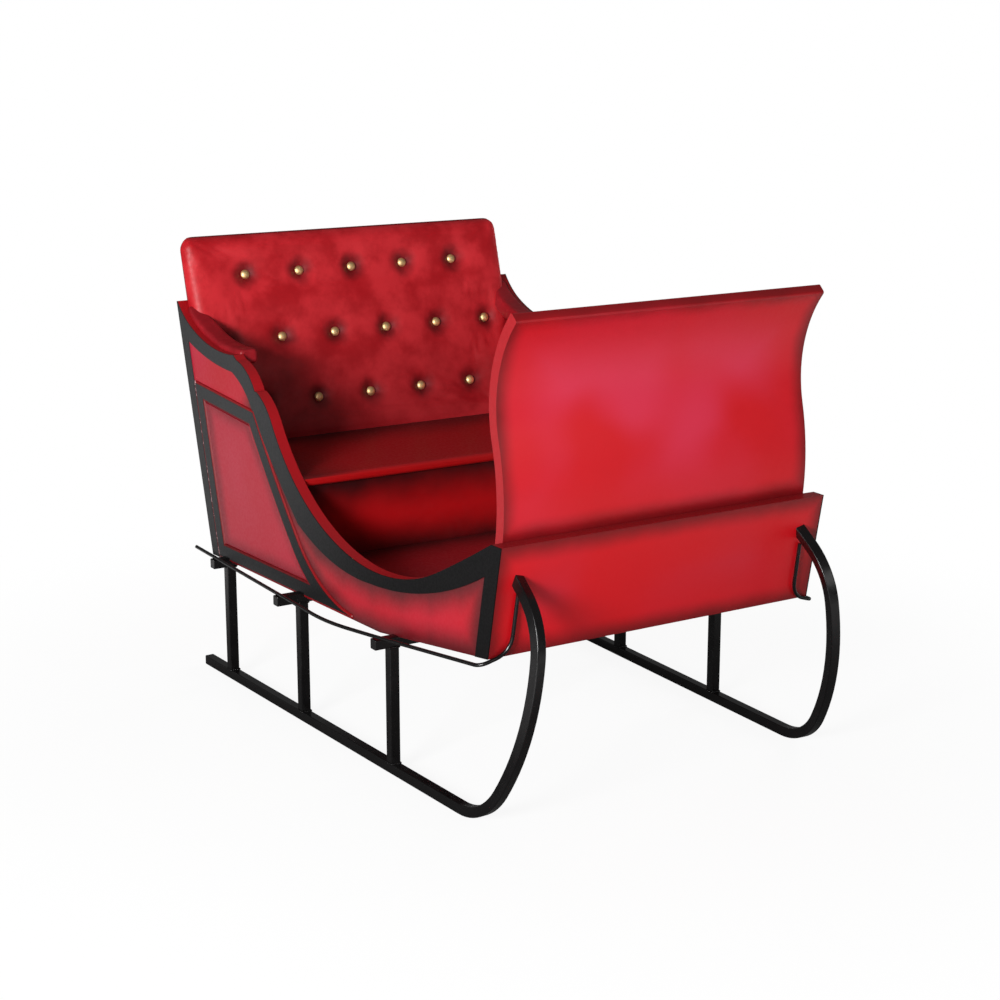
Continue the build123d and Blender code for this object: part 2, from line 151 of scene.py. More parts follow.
def add(tree, kind, inputs=None, **settings):
    """Adds a node. Its inputs are linked where they are nodes or sockets, and set otherwise."""
    node = tree.nodes.new(kind)
    for name, value in settings.items():
        setattr(node, name, value)
    for key, value in (inputs or {}).items():
        if isinstance(value, bpy.types.Node):
            value = value.outputs[0]
        if isinstance(value, bpy.types.NodeSocket):
            tree.links.new(value, node.inputs[key])
        else:
            node.inputs[key].default_value = value
    return node


def new_material(name):
    """An empty node material and its tree."""
    material = bpy.data.materials.new(name)
    material.use_nodes = True
    material.node_tree.nodes.clear()
    return material, material.node_tree


def close_material(tree, shader):
    add(tree, "ShaderNodeOutputMaterial", {"Surface": shader})


def object_point(tree):
    return add(tree, "ShaderNodeTexCoord").outputs["Object"]


def mix_colour(tree, share, first, second):
    """Blends two colours; each is a hex value or the output of another node."""
    node = add(tree, "ShaderNodeMix", {0: share}, data_type="RGBA")
    # The Mix node names its colour sockets like its other types' sockets, so they go by index.
    for place, colour in ((6, first), (7, second)):
        if isinstance(colour, str):
            node.inputs[place].default_value = srgb(colour)
        else:
            tree.links.new(colour, node.inputs[place])
    return node.outputs[2]


def noise(tree, size, detail=3.0, roughness=0.5, vector=None):
    """Noise whose features are about the given size in metres."""
    inputs = {
        "Vector": vector or object_point(tree),
        "Scale": 1 / size,
        "Detail": detail,
        "Roughness": roughness,
    }
    return add(tree, "ShaderNodeTexNoise", inputs).outputs[0]


def span(tree, value, low, high, start=0.0, end=1.0, kind="SMOOTHSTEP"):
    """Maps a value from one range to another."""
    inputs = {"Value": value, "From Min": low, "From Max": high, "To Min": start, "To Max": end}
    return add(tree, "ShaderNodeMapRange", inputs, interpolation_type=kind).outputs[0]


def calculate(tree, operation, *values):
    """A Math node on numbers or sockets."""
    return add(tree, "ShaderNodeMath", dict(enumerate(values)), operation=operation).outputs[0]


# Pieces

def paint(node, material):
    """Puts one material on a CAD node or a piece."""
    mesh = (NODES[node] if isinstance(node, str) else node).data
    mesh.materials.clear()
    mesh.materials.append(material)


def bake_modifiers(piece):
    """Replaces a piece's mesh by what its modifiers make of it."""
    graph = bpy.context.evaluated_depsgraph_get()
    result = bpy.data.meshes.new_from_object(piece.evaluated_get(graph), depsgraph=graph)
    old = piece.data
    piece.modifiers.clear()
    piece.data = result
    bpy.data.meshes.remove(old)
    for face in result.polygons:
        face.use_smooth = True


def new_piece(name, vertices, faces, edges=()):
    """A mesh object made from its points and faces."""
    mesh = bpy.data.meshes.new(name)
    mesh.from_pydata([tuple(vertex) for vertex in vertices], list(edges), faces)
    mesh.update()
    piece = bpy.data.objects.new(name, mesh)
    bpy.context.scene.collection.objects.link(piece)
    return piece


def ring_faces(rings, turns, first=0):
    """Faces between rings of points that follow one another in the mesh."""
    faces = []
    for ring in range(rings - 1):
        base = first + ring * turns
        for turn in range(turns):
            after = (turn + 1) % turns
            faces.append((base + turn, base + after, base + turns + after, base + turns + turn))
    return faces


def outward_faces(piece):
    """Turns every face outward and shades the piece smooth."""
    editor = bmesh.new()
    editor.from_mesh(piece.data)
    bmesh.ops.recalc_face_normals(editor, faces=editor.faces)
    editor.to_mesh(piece.data)
    editor.free()
    for face in piece.data.polygons:
        face.use_smooth = True


def settle(piece, slot, *replaced):
    """Attaches a finished piece to the root body and hides the CAD nodes it stands for. The slot is not
    used.
    """
    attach(piece, "root")
    if replaced:
        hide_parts(*replaced)


# Airbrushed red lacquer, with painted shade along the edges

Lacquer = namedtuple("Lacquer", "centre cloud edge rim reach roughness specular")

# Colours of the field, its clouds, the dark edge (airbrushed paint and painted shade) and the sawn rim,
# then the dark band's width in metres, the roughness and the specular level
LACQUERS = {
    "dash_panel": Lacquer("#ca0a18", "#d02a46", "#74080e", "#940c16", 0.055, 0.42, 0.4),
    "front_board": Lacquer("#d00a16", "#ca2034", "#78080e", "#840a12", 0.055, 0.42, 0.4),
    # the riser, seat board and floor are darkened widest at their edges, painted shade where the seat,
    # cushion and side panels shade them
    "seat_riser": Lacquer("#ac080e", "#9c0a10", "#280204", "#5a0608", 0.130, 0.45, 0.4),
    "seat_board": Lacquer("#a0080e", "#940a12", "#3c0406", "#a4060a", 0.240, 0.45, 0.4),
    "floor_panel": Lacquer("#90101a", "#8a1824", "#460508", "#5a060a", 0.160, 0.48, 0.4),
    "back_panel": Lacquer("#a80c16", "#a41626", "#500408", "#7c0a10", 0.070, 0.45, 0.4),
    "flank": Lacquer("#a80c1e", "#ae1a32", "#4e050c", "#a00a14", 0.075, 0.42, 0.4),
    "field": Lacquer("#a0162a", "#a8283c", "#7a1020", "#8a0810", 0.045, 0.42, 0.4),
    # the moulding's darker red is partly its own colour and partly painted shade on its bevels
    "moulding": Lacquer("#7c060e", "#7c060e", "#5a040a", "#6a050b", 0.030, 0.50, 0.2),
}


def flat_point(tree, across):
    """The object coordinates in the plane across an axis, as a flat vector."""
    split = add(tree, "ShaderNodeSeparateXYZ", {0: object_point(tree)})
    first, second = [axis for axis in range(3) if axis != across]
    return add(tree, "ShaderNodeCombineXYZ", {0: split.outputs[first], 1: split.outputs[second]})


def segment_distance(tree, point, start, end):
    """Distance in metres from a point to a straight segment in the same flat coordinates."""
    run = (end[0] - start[0], end[1] - start[1], 0)
    square = run[0] ** 2 + run[1] ** 2
    scaled = (run[0] / square, run[1] / square, 0)
    reach = add(tree, "ShaderNodeVectorMath", {0: point, 1: (*start, 0)}, operation="SUBTRACT")
    share = add(tree, "ShaderNodeVectorMath", {0: reach, 1: scaled}, operation="DOT_PRODUCT")
    held = add(
        tree, "ShaderNodeMath", {0: share.outputs["Value"], 1: 0.0}, operation="ADD", use_clamp=True
    )
    foot = add(
        tree, "ShaderNodeVectorMath", {0: run, 1: held, 2: (*start, 0)}, operation="MULTIPLY_ADD"
    )
    gap = add(tree, "ShaderNodeVectorMath", {0: point, 1: foot}, operation="DISTANCE")
    return gap.outputs["Value"]


def edge_distance(tree, point, paths):
    """Distance to the nearest of several paths, with the creases between them smoothed."""
    nearest = None
    for path in paths:
        for start, end in zip(path, path[1:]):
            found = segment_distance(tree, point, start, end)
            if nearest is None:
                nearest = found
            else:
                nearest = calculate(tree, "SMOOTH_MIN", nearest, found, SPRAY_CREASE)
    return nearest


def face_direction(tree, across):
    """How squarely a face looks along the panel's axis, and how much it looks inward or back."""
    normal = add(tree, "ShaderNodeTexCoord").outputs["Normal"]
    along = add(tree, "ShaderNodeSeparateXYZ", {0: normal}).outputs[across]
    if across != 0:
        return along, along
    # A flank's inner face looks towards the centre plane, so the sign follows the side it is on.
    side = add(tree, "ShaderNodeSeparateXYZ", {0: object_point(tree)}).outputs[0]
    return along, calculate(tree, "MULTIPLY", along, calculate(tree, "MULTIPLY", side, -2.0))


def chipped(tree, point, paths, colour):
    """Pale flecks in a narrow band along paths, where the lacquer has chipped."""
    near = span(tree, edge_distance(tree, point, paths), 8.0 * MM, 10.0 * MM, 1.0, 0.0)
    fleck = span(tree, noise(tree, 12 * MM, 2.0), 0.52, 0.58)
    return mix_colour(tree, calculate(tree, "MULTIPLY", near, fleck), colour, "#d8a4a8")


def lacquer(name, across, paths=(), outer_paths=(), worn_paths=()):
    """Satin red lacquer on board. The edges are darker, partly airbrushed paint and partly painted
    shade where the panels meet and shade one another; paler pink clouds lie in the field and fade
    towards the dark edges, and the sawn edges of the board are a plain red.
    Paths darken both faces with this painted shade, outer paths the outer face only, and worn paths
    have pale flecks."""
    finish = LACQUERS[name]
    reach = finish.reach
    material, tree = new_material(f"red_lacquer_{name}")
    point = flat_point(tree, across)
    along, inward = face_direction(tree, across)
    distance = calculate(
        tree, "ADD", edge_distance(tree, point, outer_paths), calculate(tree, "MAXIMUM", inward, 0.0)
    )
    if paths:
        both_faces = edge_distance(tree, point, paths)
        distance = calculate(tree, "SMOOTH_MIN", distance, both_faces, SPRAY_CREASE)
    drift = calculate(tree, "SUBTRACT", noise(tree, 130 * MM), 0.5)
    uneven = calculate(tree, "MULTIPLY_ADD", drift, reach * 0.5, distance)
    # dark band along the edges: partly airbrushed paint, partly painted shade
    airbrush_and_shade = span(tree, uneven, -0.1 * reach, reach)
    haze = span(tree, noise(tree, 290 * MM, 1.0), 0.34, 0.66)
    inner = calculate(tree, "MULTIPLY", haze, span(tree, distance, reach, 4 * reach, 0.25, 1.0))
    field = mix_colour(tree, inner, finish.centre, finish.cloud)
    face = mix_colour(tree, airbrush_and_shade, finish.edge, field)
    facing = span(tree, calculate(tree, "ABSOLUTE", along), 0.55, 0.7, kind="LINEAR")
    colour = mix_colour(tree, facing, finish.rim, face)
    if worn_paths:
        colour = chipped(tree, point, worn_paths, colour)
    grain = noise(tree, 9 * MM, 4.0, 0.6)
    sheen = span(tree, grain, 0.3, 0.7, finish.roughness - 0.05, finish.roughness + 0.07)
    bump = add(tree, "ShaderNodeBump", {"Height": grain, "Strength": 0.10, "Distance": 0.4 * MM})
    shader = add(
        tree,
        "ShaderNodeBsdfPrincipled",
        {"Base Color": colour, "Roughness": sheen, "Normal": bump,
         "Specular IOR Level": finish.specular, "Coat Weight": 0.12, "Coat Roughness": 0.25},
    )
    close_material(tree, shader)
    return material


def at(station, height):
    """A flank outline point in the flat coordinates of the flank: y and z in metres."""
    return (FRONT_Y + station * MM, height * MM)


def rectangle(node, across, sides):
    """Edges of a panel's box as paths, only the named sides."""
    low, high = [[corner[axis] for axis in range(3) if axis != across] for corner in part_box(node)]
    corners = {
        "left": ((low[0], low[1]), (low[0], high[1])),
        "right": ((high[0], low[1]), (high[0], high[1])),
        "bottom": ((low[0], low[1]), (high[0], low[1])),
        "top": ((low[0], high[1]), (high[0], high[1])),
    }
    return [corners[side] for side in sides.split()]


# Paths along which the flank and the raised field are darkened on their outer faces: partly airbrushed
# paint, partly painted shade beside the raised trim and moulding
FLANK_PATHS = [
    # border strip's inner edge below the arm: the swoop
    [at(1239, 860), at(1108, 700), at(985, 573), at(880, 522), at(740, 492), at(600, 489)],
    [at(600, 489), at(450, 502), at(322, 530), at(180, 578), at(70, 634)],
    # front band and lower edge
    [at(70, 634), at(110, 424), at(560, 365), at(760, 365)],
    # moulding's front edge
    [at(1105, 666), at(987, 515), at(860, 415), at(720, 365)],
]
FIELD_PATHS = [
    [at(1512, 832), at(1272, 806), at(1100, 600), at(960, 440), at(905, 416), at(1412, 416),
     at(1512, 832)],
]
GROOVE_PATHS = [[at(1466, 373), at(1590, 890)]]


def paint_panels():
    """Gives each red panel its own airbrushed lacquer, darkened along its edges with painted shade."""
    dash_low, dash_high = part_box("dash_panel")
    # the dash is darkened along its foot on the board top, painted shade at the joint
    dash_foot = [((dash_low.x, BOARD_TOP), (dash_high.x, BOARD_TOP))]
    # node, axis across the panel, sides darkened by airbrush and painted shade
    panels = (
        ("dash_panel", 1, "left right top"),
        ("front_board", 1, "left right bottom top"),
        ("seat_riser", 1, "left right bottom top"),
        ("seat_board", 2, "left right top"),
        ("floor_panel", 2, "left right top"),
        ("back_panel", 1, "left right bottom top"),
    )
    for node, across, sides in panels:
        paths = rectangle(node, across, sides)
        outer_paths = dash_foot if node == "dash_panel" else paths
        finish = lacquer(node, across, paths, outer_paths)
        paint(node, finish)
        if node == "floor_panel":
            paint("rear_floor", finish)
    flank = lacquer("flank", 0, outer_paths=FLANK_PATHS, worn_paths=GROOVE_PATHS)
    field = lacquer("field", 0, outer_paths=FIELD_PATHS)
    moulding = lacquer("moulding", 0, outer_paths=FIELD_PATHS, worn_paths=GROOVE_PATHS)
    for side in ("left", "right"):
        paint(f"side_panel_{side}", flank)
        paint(f"raised_field_{side}", field)
        paint(f"moulding_{side}", moulding)


# Black paint and powder coat

def black_paint(name, light, dark):
    """Dull black brush paint on the trim strips. It is painted greyer up and to the rear, a painted
    sheen where light grazes the trim, and deep black low in front."""
    material, tree = new_material(name)
    split = add(tree, "ShaderNodeSeparateXYZ", {0: object_point(tree)})
    painted_sheen_rear_up = calculate(tree, "MULTIPLY_ADD", split.outputs["Z"], 0.8, split.outputs["Y"])
    # painted sheen: the grey grows up and towards the rear
    colour = mix_colour(tree, span(tree, painted_sheen_rear_up, 0.0, 1.3), dark, light)
    grain = noise(tree, 6 * MM)
    sheen = span(tree, grain, 0.3, 0.7, 0.48, 0.6)
    bump = add(tree, "ShaderNodeBump", {"Height": grain, "Strength": 0.08, "Distance": 0.3 * MM})
    shader = add(
        tree,
        "ShaderNodeBsdfPrincipled",
        {"Base Color": colour, "Roughness": sheen, "Normal": bump, "Specular IOR Level": 0.16},
    )
    close_material(tree, shader)
    return material


def powder_coat(name):
    """Black gloss powder coat on steel: fine orange peel, a thin highlight on each corner."""
    material, tree = new_material(name)
    dust = noise(tree, 60 * MM, 4.0)
    colour = mix_colour(tree, dust, "#060505", "#0e0c0d")
    sheen = span(tree, dust, 0.3, 0.7, 0.20, 0.32)
    peel = noise(tree, 2.5 * MM, 2.0)
    bump = add(tree, "ShaderNodeBump", {"Height": peel, "Strength": 0.10, "Distance": 0.2 * MM})
    shader = add(
        tree,
        "ShaderNodeBsdfPrincipled",
        {"Base Color": colour, "Roughness": sheen, "Normal": bump, "Specular IOR Level": 0.45},
    )
    close_material(tree, shader)
    return material


def brass(name):
    """Satin brass upholstery buttons, a little dulled."""
    material, tree = new_material(name)
    tarnish = noise(tree, 8 * MM)
    colour = mix_colour(tree, tarnish, "#ffe6b0", "#ecc684")
    sheen = span(tree, tarnish, 0.3, 0.7, 0.48, 0.6)
    shader = add(
        tree, "ShaderNodeBsdfPrincipled", {"Base Color": colour, "Roughness": sheen, "Metallic": 1.0}
    )
    close_material(tree, shader)
    return material


def stained_timber(name):
    """Softwood bearers under a dark red-brown stain, with grain along their length."""
    material, tree = new_material(name)
    stretched = add(
        tree, "ShaderNodeMapping", {"Vector": object_point(tree), "Scale": (1.0, 0.06, 1.0)}
    )
    grain = noise(tree, 4 * MM, 5.0, vector=stretched)
    colour = mix_colour(tree, grain, "#2a120d", "#4a2218")
    bump = add(tree, "ShaderNodeBump", {"Height": grain, "Strength": 0.25, "Distance": 0.4 * MM})
    shader = add(
        tree, "ShaderNodeBsdfPrincipled", {"Base Color": colour, "Roughness": 0.6, "Normal": bump}
    )
    close_material(tree, shader)
    return material


# Buttoned leather

def back_slope():
    """The cushion's outward direction and the plane its buttons stand on."""
    names = sorted(name for name in NODES if name.startswith("back_button"))
    middles = {name: sum(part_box(name), Vector()) / 2 for name in names}
    rows = sorted(middles.values(), key=lambda middle: middle.z)
    slope = (rows[-1].y - rows[0].y) / (rows[-1].z - rows[0].z)
    outward = Vector((0, -1, slope)).normalized()
    return middles, outward


def leather(name, hollows, pale, deep, shade):
    """Smooth upholstery leather with a fine pebble and a soft sheen. Painted shade darkens the hollows
    round each button and the leather low down towards the seat."""
    material, tree = new_material(name)
    point = object_point(tree)
    colour = mix_colour(tree, span(tree, noise(tree, 110 * MM, 6.0, 0.6), 0.34, 0.66), deep, pale)
    nearest = None
    for hollow in hollows:
        found = add(
            tree, "ShaderNodeVectorMath", {0: point, 1: tuple(hollow)}, operation="DISTANCE"
        ).outputs["Value"]
        nearest = found if nearest is None else calculate(tree, "MINIMUM", nearest, found)
    if nearest is not None:
        drift = calculate(tree, "SUBTRACT", noise(tree, 45 * MM), 0.5)
        uneven = calculate(tree, "MULTIPLY_ADD", drift, HALO_DRIFT, nearest)
        halo = span(tree, uneven, HALO_START, HALO_END)
        colour = mix_colour(tree, halo, shade, colour)
        # painted shade deepens towards the seat
        height = add(tree, "ShaderNodeSeparateXYZ", {0: point}).outputs["Z"]
        share = span(tree, height, SEAT_TOP, SEAT_TOP + SEAT_SHADE_RISE, 0.6, 1.0)
        colour = mix_colour(tree, share, shade, colour)
    pebble = add(
        tree, "ShaderNodeTexVoronoi", {"Vector": point, "Scale": 1 / (2.2 * MM)}, feature="SMOOTH_F1"
    )
    wrinkle = noise(tree, 14 * MM, 5.0, 0.6)
    relief = calculate(tree, "MULTIPLY_ADD", pebble.outputs[0], 0.35, wrinkle)
    bump = add(tree, "ShaderNodeBump", {"Height": relief, "Strength": 0.16, "Distance": 0.6 * MM})
    sheen = span(tree, wrinkle, 0.3, 0.7, 0.38, 0.52)
    shader = add(
        tree,
        "ShaderNodeBsdfPrincipled",
        {"Base Color": colour, "Roughness": sheen, "Normal": bump, "Specular IOR Level": 0.33},
    )
    close_material(tree, shader)
    return material


def soft_copy(node, voxel):
    """A merged, evenly meshed copy of a plain CAD soft solid."""
    mesh = NODES[node].data.copy()
    piece = bpy.data.objects.new(f"soft_{node}", mesh)
    bpy.context.scene.collection.objects.link(piece)
    editor = bmesh.new()
    editor.from_mesh(mesh)
    bmesh.ops.remove_doubles(editor, verts=editor.verts, dist=0.02 * MM)
    editor.to_mesh(mesh)
    editor.free()
    remesh = piece.modifiers.new("even mesh", "REMESH")
    remesh.mode = "VOXEL"
    remesh.voxel_size = voxel
    bake_modifiers(piece)
    return piece


def rounding(inset, radius):
    """How far a round edge of a given radius falls away at a distance from the outline."""
    if inset >= radius:
        return 0.0
    return radius - math.sqrt(radius ** 2 - (radius - inset) ** 2)


def settle_leather(piece, held):
    """Lets the leather find its own tension: a short cloth simulation under air pressure, with the
    tacked and buttoned points held and no point moved further than a few millimetres."""
    mesh = piece.data
    start = [vertex.co.copy() for vertex in mesh.vertices]
    group = piece.vertex_groups.new(name="held")
    group.add(held, 1.0, "ADD")
    cloth = piece.modifiers.new("leather", "CLOTH")
    cloth.settings.quality = CLOTH_QUALITY
    cloth.settings.mass = CLOTH_MASS
    cloth.settings.tension_stiffness = CLOTH_STIFFNESS
    cloth.settings.compression_stiffness = CLOTH_STIFFNESS
    cloth.settings.bending_stiffness = CLOTH_BENDING
    cloth.settings.use_pressure = True
    cloth.settings.uniform_pressure_force = CLOTH_PRESSURE
    cloth.settings.vertex_group_mass = "held"
    cloth.settings.effector_weights.gravity = 0
    cloth.point_cache.frame_start = 1
    cloth.point_cache.frame_end = CLOTH_FRAMES
    for step in range(1, CLOTH_FRAMES + 1):
        bpy.context.scene.frame_set(step)
    bake_modifiers(piece)
    bpy.context.scene.frame_set(1)
    for vertex, first in zip(piece.data.vertices, start):
        move = vertex.co - first
        if move.length > CLOTH_TRAVEL:
            vertex.co = first + move.normalized() * CLOTH_TRAVEL


def edge_fall(point, high, up, thickness):
    """How far the cushion's face falls away near its sides and its top."""
    half_width = high.x - CUSHION_FOOT_TAPER * (1 - up)
    from_side = max(0.0, half_width - abs(point.x))
    from_top = max(0.0, high.z - point.z)
    corner = math.hypot(max(0.0, CUSHION_ROUND - from_side), max(0.0, CUSHION_ROUND - from_top))
    inset = max(0.0, CUSHION_ROUND - corner)
    deepest = thickness + CUSHION_WRAP - CUSHION_BACK_MARGIN
    return min(rounding(inset, CUSHION_ROUND), deepest)


def dimple(point, middles, outward):
    """How deep the dimples are at a point, from 0 to 1, and whether a button sits on it."""
    depth = 0.0
    seated = False
    for middle in middles.values():
        reach = math.hypot(point.x - middle.x, (point.z - middle.z) / outward.y)
        if reach < DIMPLE_REACHES * DIMPLE_REACH:
            beyond = max(0.0, reach - DIMPLE_FLAT) / DIMPLE_REACH
            depth += math.exp(-(beyond ** DIMPLE_FADE))
        seated = seated or reach < DIMPLE_FLAT
    return min(1.0, depth), seated


def make_back_cushion():
    """The back cushion: rounded at its edges, wrapped over the board, drawn in at each button."""
    middles, outward = back_slope()
    face_plane = next(iter(middles.values())).dot(outward) - BUTTON_HEIGHT / 2
    low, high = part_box("back_cushion")
    piece = soft_copy("back_cushion", CUSHION_VOXEL)
    held = []
    for vertex in piece.data.vertices:
        point = vertex.co
        up = (point.z - low.z) / (high.z - low.z)
        thickness = CUSHION_FOOT_DEPTH + (CUSHION_TOP_DEPTH - CUSHION_FOOT_DEPTH) * up
        # share of the way from the face, which moves, to the back, which lies on the board
        back = min(1.0, max(0.0, (face_plane - point.dot(outward)) / thickness))
        from_foot = max(0.0, point.z - SEAT_TOP)
        crown = CUSHION_CROWN * (1 - math.exp(-from_foot / CUSHION_FOOT_ROUND))
        depth, seated = dimple(point, middles, outward)
        if back > TACKED_SHARE or seated:
            held.append(vertex.index)
        rise = crown - edge_fall(point, high, up, thickness) - DIMPLE_DEPTH * depth
        vertex.co = point + outward * (rise * (1 - back) - CUSHION_WRAP * back)
        vertex.co.x *= CUSHION_SIDE_GROWTH
    soften = piece.modifiers.new("soften", "SMOOTH")
    soften.factor = 0.5
    soften.iterations = 3
    bake_modifiers(piece)
    settle_leather(piece, held)
    paint(piece, leather("red_leather_back", middles.values(), "#c8262e", "#a80e18", "#4c060a"))
    settle(piece, "leather_red", "back_cushion")


def make_buttons(finish):
    """Domed brass buttons drawn down into the leather's hollows."""
    middles, outward = back_slope()
    across = Vector((1, 0, 0))
    upward = outward.cross(across) * -1
    turns = BUTTON_TURNS
    for name, middle in middles.items():
        seat = middle - outward * BUTTON_SINK
        vertices = [seat - outward * BUTTON_SHANK]
        for ring in range(BUTTON_RINGS):
            angle = math.pi / 2 * ring / BUTTON_RINGS
            radius = BUTTON_RADIUS * math.cos(angle)
            rise = BUTTON_DOME * math.sin(angle)
            for turn in range(turns):
                way = 2 * math.pi * turn / turns
                rim = across * math.cos(way) + upward * math.sin(way)
                vertices.append(seat + rim * radius + outward * rise)
        vertices.append(seat + outward * BUTTON_DOME)
        top = len(vertices) - 1
        last_ring = 1 + (BUTTON_RINGS - 1) * turns
        faces = ring_faces(BUTTON_RINGS, turns, 1)
        for turn in range(turns):
            after = (turn + 1) % turns
            faces.append((0, 1 + after, 1 + turn))
            faces.append((last_ring + turn, last_ring + after, top))
        piece = new_piece(name.replace("back_button", "brass_button"), vertices, faces)
        outward_faces(piece)
        paint(piece, finish)
        settle(piece, "button_brass", name)


def arc_through(start, middle, end, count):
    """Points along the arc through three flat points, its start left out."""
    (ax, ay), (bx, by), (cx, cy) = start, middle, end
    twice = 2 * (ax * (by - cy) + bx * (cy - ay) + cx * (ay - by))
    squares = [x * x + y * y for x, y in (start, middle, end)]
    ox = (squares[0] * (by - cy) + squares[1] * (cy - ay) + squares[2] * (ay - by)) / twice
    oy = (squares[0] * (cx - bx) + squares[1] * (ax - cx) + squares[2] * (bx - ax)) / twice
    radius = math.hypot(ax - ox, ay - oy)
    first = math.atan2(ay - oy, ax - ox)
    sweep = (math.atan2(cy - oy, cx - ox) - first + math.pi) % (2 * math.pi) - math.pi
    steps = [first + sweep * step / count for step in range(1, count + 1)]
    return [(ox + radius * math.cos(angle), oy + radius * math.sin(angle)) for angle in steps]


def squared(share):
    """A sine or cosine pushed towards a square section with round corners."""
    return math.copysign(abs(share) ** PAD_SQUARENESS, share)


def pad_ring(line, place, sign):
    """The points round a bolster at one place on its line, on the left or the right side."""
    last = len(line) - 1
    station, top = line[place]
    before = line[max(0, place - 1)]
    after = line[min(last, place + 1)]
    run = math.hypot(after[0] - before[0], after[1] - before[1])
    rise_way = ((after[1] - before[1]) / run, -(after[0] - before[0]) / run)
    # the bolster starts slim beside the cushion and has its full size at the hollow
    growth = min(1.0, place / PAD_REAR_STEPS)
    half = (PAD_INNER_REAR + (PAD_INNER - PAD_INNER_REAR) * growth - PAD_OUTER) / 2
    drop = PAD_DROP * (1 + growth) / 2
    middle = FRONT_HALF_WIDTH + station * MM * SIDE_SPLAY - PAD_OUTER - half
    from_end = min(place, last - place)
    closing = min(1.0, (from_end + PAD_CLOSING_STEPS - 1) / PAD_CLOSING_STEPS)
    ring = []
    for turn in range(PAD_TURNS):
        way = 2 * math.pi * turn / PAD_TURNS
        aside = squared(math.cos(way)) * half * closing
        over = squared(math.sin(way))
        lift = (PAD_RISE - drop) / 2 + over * (PAD_RISE + drop) / 2 * closing
        y = FRONT_Y + station * MM + lift * rise_way[0]
        z = top * MM + lift * rise_way[1]
        ring.append((sign * (middle + aside), y, z))
    return ring


def make_arm_pads():
    """Padded arms: bolsters along the arm's upper edge, just inside the panel's outer face."""
    line = [ARM_REAR]
    line += arc_through(ARM_REAR, ARM_RISE, ARM_HOLLOW, PAD_REAR_STEPS)
    line += arc_through(ARM_HOLLOW, ARM_MIDDLE, ARM_FRONT, PAD_FRONT_STEPS)
    finish = leather("red_leather_arm", [], "#9a1822", "#820e18", "#3a0a0c")
    rear_end = tuple(range(PAD_TURNS))
    front_end = tuple((len(line) - 1) * PAD_TURNS + turn for turn in reversed(range(PAD_TURNS)))
    faces = [rear_end] + ring_faces(len(line), PAD_TURNS) + [front_end]
    for side, sign in (("left", -1), ("right", 1)):
        vertices = []
        for place in range(len(line)):
            vertices += pad_ring(line, place, sign)
        node = f"arm_pad_{side}"
        piece = new_piece(f"soft_{node}", vertices, faces)
        refine = piece.modifiers.new("refine", "SUBSURF")
        refine.levels = 2
        refine.render_levels = 2
        bake_modifiers(piece)
        outward_faces(piece)
        paint(piece, finish)
        settle(piece, "leather_red", node)


# Welds

def weld_group(finish):
    """Node group: overlapping beads along the edges it is given."""
    group = bpy.data.node_groups.new("weld_beads", "GeometryNodeTree")
    sockets = group.interface
    sockets.new_socket(name="Joint edges", in_out="INPUT", socket_type="NodeSocketGeometry")
    for name, kind, value in (
        ("Bead radius", "NodeSocketFloat", WELD_BEAD),
        ("Bead spacing", "NodeSocketFloat", WELD_STEP),
        ("Seed", "NodeSocketInt", WELD_SEED),
    ):
        socket = sockets.new_socket(name=name, in_out="INPUT", socket_type=kind)
        socket.default_value = value
    sockets.new_socket(name="Beads", in_out="OUTPUT", socket_type="NodeSocketGeometry")
    given = add(group, "NodeGroupInput")
    curve = add(group, "GeometryNodeMeshToCurve", {"Mesh": given.outputs["Joint edges"]})
    points = add(
        group,
        "GeometryNodeResampleCurve",
        {"Curve": curve, "Length": given.outputs["Bead spacing"]},
        mode="LENGTH",
    )
    bead = add(
        group, "GeometryNodeMeshIcoSphere", {"Radius": given.outputs["Bead radius"], "Subdivisions": 2}
    )
    size = add(
        group,
        "FunctionNodeRandomValue",
        {2: 0.8, 3: 1.15, "Seed": given.outputs["Seed"]},
        data_type="FLOAT",
    )
    placed = add(
        group,
        "GeometryNodeInstanceOnPoints",
        {"Points": points, "Instance": bead, "Scale": size.outputs[1]},
    )
    real = add(group, "GeometryNodeRealizeInstances", {0: placed})
    dressed = add(group, "GeometryNodeSetMaterial", {"Geometry": real, "Material": finish})
    add(group, "NodeGroupOutput", {"Beads": dressed})
    return group


def make_welds(finish):
    """Weld beads round the foot and the head of each post."""
    vertices = []
    edges = []
    for name in sorted(NODES):
        if not name.startswith("post"):
            continue
        low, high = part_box(name)
        for z in (low.z, high.z):
            base = len(vertices)
            vertices += [(low.x, low.y, z), (high.x, low.y, z), (high.x, high.y, z), (low.x, high.y, z)]
            edges += [(base + turn, base + (turn + 1) % 4) for turn in range(4)]
    piece = new_piece("post_welds", vertices, [], edges)
    beads = piece.modifiers.new("weld beads", "NODES")
    beads.node_group = weld_group(finish)
    bake_modifiers(piece)
    settle(piece, "frame_black")


# Studio

def make_camera():
    data = bpy.data.cameras.new("photo_camera")
    data.lens = CAMERA_LENS
    data.sensor_width = 36
    camera = bpy.data.objects.new("photo_camera", data)
    camera.location = CAMERA_PLACE
    camera.rotation_euler = (math.radians(90 - CAMERA_PITCH), 0, math.radians(-CAMERA_YAW))
    bpy.context.scene.collection.objects.link(camera)
    bpy.context.scene.camera = camera


